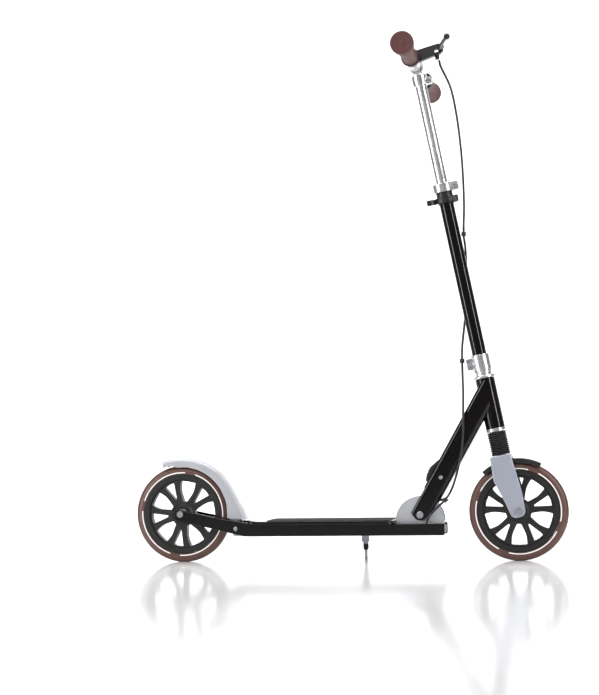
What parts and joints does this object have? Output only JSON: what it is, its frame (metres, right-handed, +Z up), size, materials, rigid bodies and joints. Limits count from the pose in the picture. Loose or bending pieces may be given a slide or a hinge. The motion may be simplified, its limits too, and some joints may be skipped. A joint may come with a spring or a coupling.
{
  "type": "folding kick scooter",
  "caption": "Folding kick scooter: large wheels, sprung fork, low deck, telescopic handlebar with hand brake, rear fender brake and kickstand.",
  "frame": {"origin": "on the ground, midway between the two axles, in the centre plane", "axes": "+Z up, +X forward (the way it rides), +Y to the rider's left"},
  "size_m": [0.916, 0.536, 1.0601],
  "materials": {
    "gloss_black_paint": "gloss",
    "black_plastic": "satin",
    "black_rubber": "matte",
    "grip_tape": "gritty",
    "brown_urethane": "satin",
    "brown_rubber": "satin",
    "satin_silver_paint": "satin",
    "polished_aluminium": "polished",
    "zinc_steel": "zinc plated"
  },
  "bodies": {
    "deck": {"deck_beam": "gloss_black_paint", "side_rail_right": "gloss_black_paint", "side_rail_left": "gloss_black_paint", "foot_board": "gloss_black_paint", "grip_tape": "grip_tape", "front_end_cap": "black_plastic", "fold_bracket": "satin_silver_paint", "rear_axle": "zinc_steel", "fender_pivot_bolt": "zinc_steel", "fender_spring": "zinc_steel", "kickstand_bracket": "satin_silver_paint", "brake_cable_deck": "black_rubber"},
    "rear_wheel": {"rear_wheel_core": "black_plastic", "rear_tyre": "brown_urethane", "rear_bearings": "zinc_steel"},
    "rear_fender": {"rear_fender": "satin_silver_paint", "fender_hinge_arms": "zinc_steel"},
    "kickstand": {"kickstand_leg": "zinc_steel", "kickstand_sleeve": "black_rubber"},
    "neck": {"neck_brace": "gloss_black_paint", "head_tube": "gloss_black_paint", "head_tube_ring": "polished_aluminium", "headset_bearings": "zinc_steel", "fold_bolt": "zinc_steel", "latch_housing": "black_plastic", "latch_guide_pin": "zinc_steel", "neck_cable_clip": "black_plastic", "brake_cable_neck": "black_rubber"},
    "fold_button": {"fold_button": "zinc_steel"},
    "latch": {"latch_bolt": "zinc_steel"},
    "column": {"steerer_tube": "zinc_steel", "headset_nut": "polished_aluminium", "column_clamp": "polished_aluminium", "column_clamp_bolts": "zinc_steel", "column_tube": "gloss_black_paint", "height_collar": "polished_aluminium", "height_collar_bolt": "zinc_steel", "column_bush": "black_plastic", "column_cable_clip": "black_plastic", "clamp_cable_clip": "black_plastic", "brake_cable_column": "black_rubber"},
    "height_lever": {"height_lever": "black_plastic"},
    "fork": {"fork": "satin_silver_paint", "suspension_post": "zinc_steel", "fork_bellows": "black_rubber", "fork_spring": "zinc_steel", "front_fender": "black_plastic", "front_axle": "zinc_steel"},
    "front_wheel": {"front_wheel_core": "black_plastic", "front_tyre": "brown_urethane", "front_bearings": "zinc_steel"},
    "handlebar": {"inner_tube": "polished_aluminium", "t_clamp": "polished_aluminium", "t_clamp_bolt": "zinc_steel", "handlebar_tube": "polished_aluminium", "right_grip": "brown_rubber", "left_grip": "brown_rubber", "brake_perch": "black_plastic", "brake_cable_upper": "black_rubber"},
    "brake_lever": {"brake_lever": "black_plastic"}
  },
  "joints": [
    {"name": "neck_fold", "type": "hinge", "parent": "deck", "child": "neck", "pos_m": [0.1537, 0, 0.0963], "axis": [0, -1, 0], "range_deg": [0, 81.5], "deforming": ["brake_cable_neck"]},
    {"name": "steering", "type": "hinge", "parent": "neck", "child": "column", "pos_m": [0.34545, 0, 0.10016], "axis": [-0.1908, 0, 0.9816], "range_deg": [-60, 60], "deforming": ["brake_cable_column"]},
    {"name": "handlebar_height", "type": "slide", "parent": "column", "child": "handlebar", "axis": [-0.1908, 0, 0.9816], "range_m": [-0.19, 0], "deforming": ["brake_cable_upper"]},
    {"name": "fork_slide", "type": "slide", "parent": "column", "child": "fork", "axis": [-0.1908, 0, 0.9816], "range_m": [0, 0.012], "stiffness_N_per_m": 15000, "springref_m": -0.02, "deforming": ["fork_bellows", "fork_spring"]},
    {"name": "front_wheel_spin", "type": "hinge", "parent": "fork", "child": "front_wheel", "pos_m": [0.35585, 0, 0.10218], "axis": [0, 1, 0], "continuous": true},
    {"name": "rear_wheel_spin", "type": "hinge", "parent": "deck", "child": "rear_wheel", "pos_m": [-0.35585, 0, 0.10218], "axis": [0, 1, 0], "continuous": true},
    {"name": "rear_brake", "type": "hinge", "parent": "deck", "child": "rear_fender", "pos_m": [-0.2365, 0, 0.0707], "axis": [0, -1, 0], "range_deg": [0, 4], "stiffness_Nm_per_rad": 5, "springref_deg": -17.19},
    {"name": "kickstand_swing", "type": "hinge", "parent": "deck", "child": "kickstand", "pos_m": [0.03, 0.04, 0.0435], "axis": [0, 1, 0], "range_deg": [0, 85]},
    {"name": "brake_lever_squeeze", "type": "hinge", "parent": "handlebar", "child": "brake_lever", "pos_m": [0.22501, -0.108, 1.04685], "axis": [0.2419, 0, -0.9703], "range_deg": [0, 20], "stiffness_Nm_per_rad": 0.5, "springref_deg": -17.19},
    {"name": "height_lever_swing", "type": "hinge", "parent": "column", "child": "height_lever", "pos_m": [0.24083, -0.006, 0.75626], "axis": [-0.1908, 0, 0.9816], "range_deg": [0, 100]},
    {"name": "fold_button_press", "type": "slide", "parent": "neck", "child": "fold_button", "axis": [0.8686, 0, -0.4955], "range_m": [0, 0.004], "stiffness_N_per_m": 800, "springref_m": -0.004},
    {"name": "latch_slide", "type": "slide", "parent": "neck", "child": "latch", "axis": [0.4955, 0, 0.8686], "range_m": [0, 0.006], "stiffness_N_per_m": 800, "springref_m": -0.004}
  ],
  "couplings": [
    {"joint": "latch_slide", "follows": "fold_button_press", "ratio": 1.5}
  ]
}
